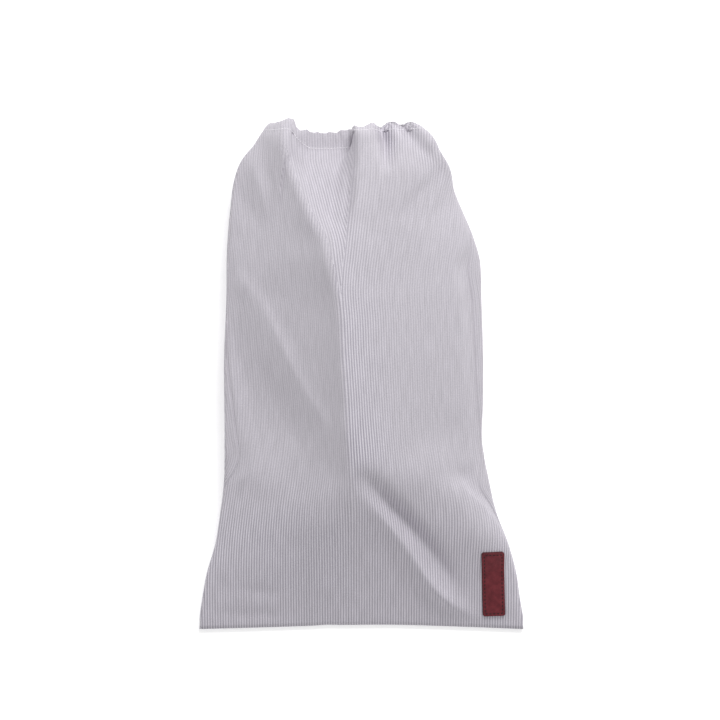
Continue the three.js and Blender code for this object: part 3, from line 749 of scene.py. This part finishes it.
def patch_surface(across, up):
    """Points of the cloth under places on the patch, and the cloth's outward directions there."""
    x = PATCH_X + across * math.cos(PATCH_LEAN) - up * math.sin(PATCH_LEAN)
    y = PATCH_Y + across * math.sin(PATCH_LEAN) + up * math.cos(PATCH_LEAN)

    def height(dx, dy):
        starts = [Vector((a + dx, b + dy, ABOVE)) for a, b in zip(x.flat, y.flat)]
        met = [front_tree.ray_cast(start, DOWN) for start in starts]
        return np.array([place.z for place, *_ in met]).reshape(x.shape)

    east, west = height(SLOPE_STEP, 0), height(-SLOPE_STEP, 0)
    north, south = height(0, SLOPE_STEP), height(0, -SLOPE_STEP)
    span = 2 * SLOPE_STEP
    normal = np.stack([(west - east) / span, (south - north) / span, np.ones_like(x)], -1)
    points = np.stack([x, y, (east + west + north + south) / 4], -1)
    return points, unit(normal)


def from_patch_edge(across, up):
    """How far inside the patch's rounded outline a place lies."""
    side = np.abs(across) - PATCH_WIDTH / 2 + PATCH_CORNER
    end = np.abs(up) - PATCH_LENGTH / 2 + PATCH_CORNER
    past = np.hypot(np.maximum(side, 0), np.maximum(end, 0))
    return PATCH_CORNER - past - np.minimum(np.maximum(side, end), 0)


EDGE_ROUND, EDGE_POWER = 0.7, 2.5  # how far in the edge is rounded, and how squarely
PATCH_GROOVE = -0.32, 0.75  # height and width of the groove that the stitches draw down
PATCH_CROWN, CROWN_BAND = 0.12, (3, 9)  # how far the middle stands up, and where it starts to


def patch_height(inside):
    """The face of the patch above the cloth, by the distance from its edge."""
    rounding = 1 - np.clip(inside / EDGE_ROUND, 0, 1)
    edge = np.sqrt(np.maximum(1 - rounding**EDGE_POWER, 0))
    groove = swell(inside - PATCH_STITCH, *PATCH_GROOVE)
    return PATCH_THICK * edge + groove + PATCH_CROWN * smooth_step(inside, *CROWN_BAND)


across_lines = lines_across(PATCH_WIDTH, MIDDLE_COLUMNS)
up_lines = lines_across(PATCH_LENGTH, MIDDLE_ROWS)
up_grid = np.repeat(up_lines[:, None], len(across_lines), axis=1)
from_end = np.clip(PATCH_LENGTH / 2 - np.abs(up_grid), 0, PATCH_CORNER)
half_width = PATCH_WIDTH / 2 - PATCH_CORNER + np.sqrt(PATCH_CORNER**2 - (PATCH_CORNER - from_end) ** 2)
across_grid = across_lines[None, :] / (PATCH_WIDTH / 2) * half_width
patch_inside = np.maximum(from_patch_edge(across_grid, up_grid), 0)
patch_points, patch_normals = patch_surface(across_grid, up_grid)
patch_points = patch_points + patch_normals * patch_height(patch_inside)[..., None]
bm = bmesh.new()
patch_uv = bm.loops.layers.uv.new("face")
patch_edge = bm.verts.layers.float.new("inside")
patch_spot = flat_grid(bm, up_grid.shape[0] - 1, up_grid.shape[1] - 1)
for vert, (row, column) in patch_spot.items():
    vert.co = Vector((patch_points[row, column] + PLACE) * MM)
    vert[patch_edge] = patch_inside[row, column]
    for loop in vert.link_loops:
        loop[patch_uv].uv = (across_grid[row, column] * MM, up_grid[row, column] * MM)
patch = finished("patch_leather", bm)
thicken(patch, PATCH_UNDER)

BURGUNDY_DARK, BURGUNDY_LIGHT = (94, 31, 39), (124, 49, 56)
# the first pair darkens the leather towards its cut edge as painted shade on the rounded edge; the second
# darkens the pores
EDGE_PAINTED_SHADE, PORE_SHADE = (0.5, 1.0), (0.86, 1.0)
FACE_ROUGHNESS = (0.5, 0.68)
GRAIN_RELIEF = 0.35  # how high the grain stands beside the pores
leather, tree, shader = new_material("burgundy leather")
uv = add_node(tree, "ShaderNodeUVMap", uv_map="face").outputs["UV"]
cloud = noise(tree, uv, scale=160.0, detail=4.0)
grain = noise(tree, uv, scale=2600.0, detail=2.0)
pores = add_node(tree, "ShaderNodeTexVoronoi", {"Vector": uv, "Scale": 1300.0}, feature="DISTANCE_TO_EDGE")
tone = two_tones(tree, cloud, (0.3, BURGUNDY_DARK), (0.72, BURGUNDY_LIGHT))
inside = add_node(tree, "ShaderNodeAttribute", attribute_name="inside").outputs["Fac"]
edge_painted_shade = spread(tree, inside, (0.0, 1.1), EDGE_PAINTED_SHADE)
pore_shade = spread(tree, pores.outputs["Distance"], (0.0, 0.12), PORE_SHADE)
shade = work_out(tree, "MULTIPLY", edge_painted_shade, pore_shade)
tree.links.new(shaded(tree, tone, shade), shader.inputs["Base Color"])
tree.links.new(spread(tree, cloud, (0.0, 1.0), FACE_ROUGHNESS), shader.inputs["Roughness"])
leather_height = work_out(tree, "MULTIPLY_ADD", grain, GRAIN_RELIEF, pore_shade)
raise_surface(tree, shader, leather_height, strength=0.5, distance=0.4 * MM)
shader.inputs["Specular IOR Level"].default_value = 0.25
patch.data.materials.append(leather)
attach(patch, "root")
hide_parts("leather_patch")


# Patch stitching
# One row of dark sewing thread that holds the patch to the front. It runs round the patch a little inside
# its edge, turns with its corners, and is drawn down into the leather.
PATCH_STITCHES = 3.6, 2.6, 1.0  # pitch, length and width of a stitch
DARK_THREAD = (34, 13, 17), (54, 23, 27)  # its darker and lighter tones
STITCH_CORNER = 1.2  # the radius of the row's corners
CORNER_PLACES, ROW_PLACES = 8, 160  # points round a corner, and round the whole row
THREAD_FLAT = 2.6  # a stitch's width over its height from its middle
THREAD_RISE, THREAD_DIP = 0.22, 0.42  # how far a stitch's middle rises and its ends dip, in its widths
LINE_STEP = 0.2  # how far to each side the row's direction is felt


def stitch_row(name, path, normals, pitch, length, width):
    """Stitches along a line: short grains of thread that dip at both ends, one after another."""
    lengths = lengths_along(path)
    count = round(lengths[-1] / pitch)

    def read(values, places):
        return np.stack([np.interp(places, lengths, values[:, i]) for i in range(3)], -1)

    bm = bmesh.new()
    for middle in (np.arange(count) + 0.5) * lengths[-1] / count:
        grain = bmesh.ops.create_uvsphere(bm, u_segments=8, v_segments=6, radius=1.0)["verts"]
        round_thread = np.array([vert.co for vert in grain])
        places = middle + round_thread[:, 2] * length / 2
        up = unit(read(normals, places))
        ahead = unit(read(path, places + LINE_STEP) - read(path, places - LINE_STEP))
        lift = width * (THREAD_RISE - THREAD_DIP * round_thread[:, 2] ** 2)
        points = read(path, places) + np.cross(up, ahead) * round_thread[:, :1] * width / 2
        points = points + up * (round_thread[:, 1] * width / THREAD_FLAT + lift)[:, None]
        for vert, point in zip(grain, points):
            vert.co = Vector((point + PLACE) * MM)
    row = finished(name, bm)
    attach(row, "root")
    return row


def thread(name, dark, light):
    """Twisted sewing thread, with a shade that changes along it."""
    material, tree, shader = new_material(name)
    place = add_node(tree, "ShaderNodeTexCoord").outputs["Object"]
    twist = noise(tree, place, scale=2400.0, detail=2.0)
    tree.links.new(two_tones(tree, twist, (0.35, dark), (0.65, light)), shader.inputs["Base Color"])
    raise_surface(tree, shader, twist, strength=0.4, distance=0.2 * MM)
    shader.inputs["Roughness"].default_value = 0.8
    return material


corner_turns = np.linspace(0, math.pi / 2, CORNER_PLACES)
corner_across = PATCH_WIDTH / 2 - PATCH_STITCH - STITCH_CORNER
corner_up = PATCH_LENGTH / 2 - PATCH_STITCH - STITCH_CORNER
outline = []
for turn, side, end in ((0, 1, 1), (1, -1, 1), (2, -1, -1), (3, 1, -1)):
    angles = corner_turns + turn * math.pi / 2
    outline.extend(zip(
        side * corner_across + STITCH_CORNER * np.cos(angles),
        end * corner_up + STITCH_CORNER * np.sin(angles),
    ))
outline = np.array(outline + outline[:1])
around = lengths_along(outline)
even = np.linspace(0, around[-1], ROW_PLACES)
stitch_across, stitch_up = (np.interp(even, around, outline[:, i]) for i in range(2))
stitch_path, stitch_normals = patch_surface(stitch_across, stitch_up)
stitch_height = patch_height(from_patch_edge(stitch_across, stitch_up))
stitch_path = stitch_path + stitch_normals * stitch_height[:, None]
patch_stitching = stitch_row("patch_stitching", stitch_path, stitch_normals, *PATCH_STITCHES)
patch_stitching.data.materials.append(thread("dark thread", *DARK_THREAD))


# Casing stitching
# A row of white sewing thread on each panel, from seam to seam. It holds the turned-in rim down as a
# casing, and the cloth is drawn in along it.
CASING_STITCHES = 2.9, 2.7, 0.75  # pitch, length and width of a stitch
WHITE_THREAD = (222, 219, 224), (246, 244, 248)
SEAM_COLUMNS = 2  # columns of points at each side seam that the row stops short of


def grid_normals(points):
    """Outward directions of a grid of points."""
    return unit(np.cross(np.gradient(points, axis=1), np.gradient(points, axis=0)))


def casing_row(name, points, flat_along):
    """The row of stitches across one panel at the foot of its casing."""
    line = PANEL_LENGTH - CASING
    row = np.searchsorted(flat_along, line)
    share = (line - flat_along[row - 1]) / (flat_along[row] - flat_along[row - 1])
    normals = grid_normals(points)
    path = points[row - 1] * (1 - share) + points[row] * share
    up = normals[row - 1] * (1 - share) + normals[row] * share
    clear_of_seams = slice(SEAM_COLUMNS, -SEAM_COLUMNS)
    return stitch_row(name, path[clear_of_seams], up[clear_of_seams], *CASING_STITCHES)


white_thread = thread("white thread", *WHITE_THREAD)
front_stitching = casing_row("front_casing_stitching", front_points, front_flat)
front_stitching.data.materials.append(white_thread)
back_stitching = casing_row("back_casing_stitching", back_points, back_flat)
back_stitching.data.materials.append(white_thread)


# Floor, light and camera
# A plain pale floor, one broad soft light from the upper right with pale light all round, and the
# camera straight above the pouch, as in the photograph.
FLOOR_HALF, FLOOR_DROP = 6.0, 0.0004  # metres; the floor lies a hair below the pouch
LIGHT_PLACE, LIGHT_SIZE, LIGHT_POWER = (0.6, 1.99, 1.87), 1.2, 46  # metres and watts
PHOTO_SIDE, PHOTO_SCALE = 720, 0.926  # pixels, and millimetres to a pixel on the floor
PHOTO_X, PHOTO_Y = -0.93, 248.6  # the photograph's middle, by the tables' x and y
CAMERA_HEIGHT, SENSOR_WIDTH = 5.0, 36  # metres, and millimetres on the camera's scale

bm = bmesh.new()
bmesh.ops.create_grid(bm, x_segments=1, y_segments=1, size=FLOOR_HALF)
floor = finished("floor", bm)
floor.location.z = -FLOOR_DROP
floor_material, _, floor_shader = new_material("pale floor")
floor_shader.inputs["Base Color"].default_value = (0.95, 0.95, 0.95, 1)
floor_shader.inputs["Emission Color"].default_value = (1, 1, 1, 1)
floor_shader.inputs["Emission Strength"].default_value = 0.35
floor_shader.inputs["Roughness"].default_value = 0.9
floor.data.materials.append(floor_material)

world = bpy.data.worlds.new("studio")
bpy.context.scene.world = world
world.use_nodes = True
world.node_tree.nodes["Background"].inputs["Color"].default_value = (1.0, 1.0, 1.0, 1)
world.node_tree.nodes["Background"].inputs["Strength"].default_value = 0.6

light_data = bpy.data.lights.new("key", "AREA")
light_data.shape = "DISK"
light_data.size = LIGHT_SIZE
light_data.energy = LIGHT_POWER
light = bpy.data.objects.new("key", light_data)
light.location = LIGHT_PLACE
light.rotation_euler = (-Vector(LIGHT_PLACE)).to_track_quat("-Z", "Y").to_euler()
bpy.context.scene.collection.objects.link(light)

camera_data = bpy.data.cameras.new("camera")
camera_data.sensor_width = SENSOR_WIDTH
camera_data.lens = SENSOR_WIDTH * CAMERA_HEIGHT / (PHOTO_SIDE * PHOTO_SCALE * MM)
camera = bpy.data.objects.new("camera", camera_data)
camera.location = ((PHOTO_X + PLACE[0]) * MM, (PHOTO_Y + PLACE[1]) * MM, CAMERA_HEIGHT)
bpy.context.scene.collection.objects.link(camera)
bpy.context.scene.camera = camera
bpy.context.scene.view_settings.view_transform = "Standard"
